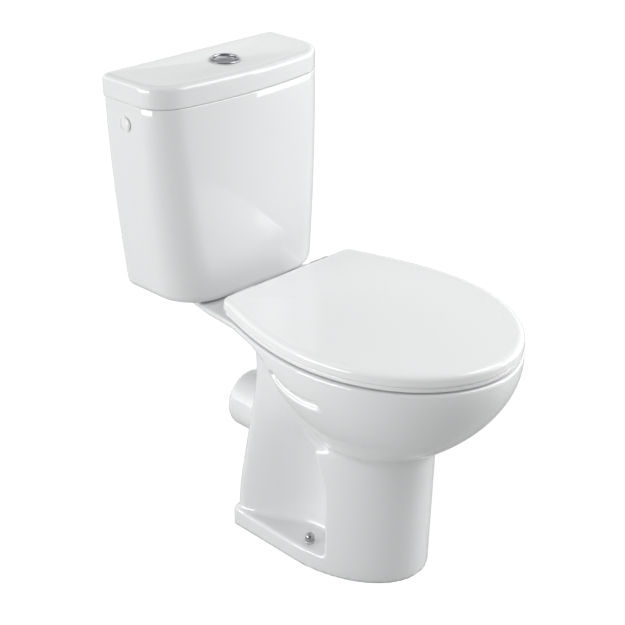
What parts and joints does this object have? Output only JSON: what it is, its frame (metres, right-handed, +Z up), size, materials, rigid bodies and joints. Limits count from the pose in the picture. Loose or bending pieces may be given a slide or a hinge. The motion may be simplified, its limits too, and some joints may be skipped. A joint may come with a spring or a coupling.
{
  "type": "close coupled toilet",
  "caption": "Close coupled toilet: pedestal pan with bowl and trap, ceramic cistern with lid, hinged seat and cover, dual flush button, flush valve and float valve.",
  "frame": {"origin": "on the floor, at the bottom centre of the bounding box", "axes": "+Z up, the front of the pan faces -Y, the cistern and the outlet are at +Y, +X is to the right of someone who stands in front and looks at the pan"},
  "size_m": [0.368, 0.668, 0.7674],
  "materials": {
    "vitreous_china": "gloss",
    "seat_plastic": "gloss",
    "buffer_rubber": "matt",
    "hinge_steel": "satin",
    "black_rubber": "matt",
    "white_plastic": "satin",
    "chrome_plate": "polished",
    "blue_plastic": "satin",
    "plug_plastic": "gloss",
    "fixing_steel": "satin"
  },
  "bodies": {
    "suite": {"pan_pedestal": "vitreous_china", "pan_bowl": "vitreous_china", "pan_shelf": "vitreous_china", "pan_spigot": "vitreous_china", "cistern_tank": "vitreous_china", "hinge_posts": "hinge_steel", "hinge_studs": "hinge_steel", "hinge_cone_washers": "black_rubber", "hinge_wing_nuts": "white_plastic", "hinge_pins": "hinge_steel", "flush_valve_cage": "white_plastic", "flush_valve_base": "white_plastic", "valve_base_washer": "black_rubber", "valve_back_nut": "white_plastic", "coupling_gasket": "black_rubber", "fill_valve_body": "white_plastic", "fill_valve_cap": "blue_plastic", "fill_valve_shank_washer": "black_rubber", "inlet_back_nut": "white_plastic", "inlet_filter": "blue_plastic", "lever_pin": "fixing_steel", "silencer_tube": "white_plastic", "side_hole_plugs": "plug_plastic", "side_plug_nuts": "chrome_plate", "tank_bolts": "fixing_steel", "tank_bolt_washers": "black_rubber", "tank_steel_washers": "fixing_steel", "tank_wing_nuts": "fixing_steel", "floor_screws": "fixing_steel", "floor_screw_sleeves": "white_plastic", "floor_screw_caps": "chrome_plate"},
    "seat_ring_set": {"seat_ring": "seat_plastic", "ring_buffers": "buffer_rubber", "ring_hinge_arms": "hinge_steel", "ring_arm_screws": "hinge_steel"},
    "seat_cover_set": {"seat_cover": "seat_plastic", "cover_buffers": "buffer_rubber", "cover_hinge_arms": "hinge_steel", "cover_arm_screws": "hinge_steel"},
    "lid": {"cistern_lid": "vitreous_china", "button_bezel": "chrome_plate", "button_sleeve": "white_plastic", "button_lock_nut": "white_plastic"},
    "full_button": {"full_flush_button": "chrome_plate", "full_push_rod": "white_plastic"},
    "half_button": {"half_flush_button": "chrome_plate", "half_push_rod": "white_plastic"},
    "flush_lift": {"overflow_tube": "blue_plastic", "flush_seal": "black_rubber", "half_flush_float": "blue_plastic"},
    "float_arm": {"float_lever": "white_plastic", "fill_float": "blue_plastic"}
  },
  "joints": [
    {"name": "cover_hinge", "type": "hinge", "parent": "suite", "child": "seat_cover_set", "pos_m": [0, 0.122, 0.424], "axis": [-1, 0, 0], "range_deg": [0, 94]},
    {"name": "ring_hinge", "type": "hinge", "parent": "suite", "child": "seat_ring_set", "pos_m": [0, 0.122, 0.424], "axis": [-1, 0, 0], "range_deg": [0, 90]},
    {"name": "lid_lift", "type": "slide", "parent": "suite", "child": "lid", "axis": [0, 0, 1], "range_m": [0, 0.12]},
    {"name": "full_flush_press", "type": "slide", "parent": "lid", "child": "full_button", "axis": [0, 0, -1], "range_m": [0, 0.008], "stiffness_N_per_m": 300, "springref_m": -0.01},
    {"name": "half_flush_press", "type": "slide", "parent": "lid", "child": "half_button", "axis": [0, 0, -1], "range_m": [0, 0.008], "stiffness_N_per_m": 300, "springref_m": -0.01},
    {"name": "valve_lift", "type": "slide", "parent": "suite", "child": "flush_lift", "axis": [0, 0, 1], "range_m": [0, 0.025]},
    {"name": "float_swing", "type": "hinge", "parent": "suite", "child": "float_arm", "pos_m": [0.118, 0.272, 0.585], "axis": [0, 1, 0], "range_deg": [0, 18]}
  ],
  "couplings": [
    {"joint": "ring_hinge", "follows": "cover_hinge", "ratio": 0.95},
    {"joint": "valve_lift", "follows": "full_flush_press", "ratio": 3.125}
  ]
}
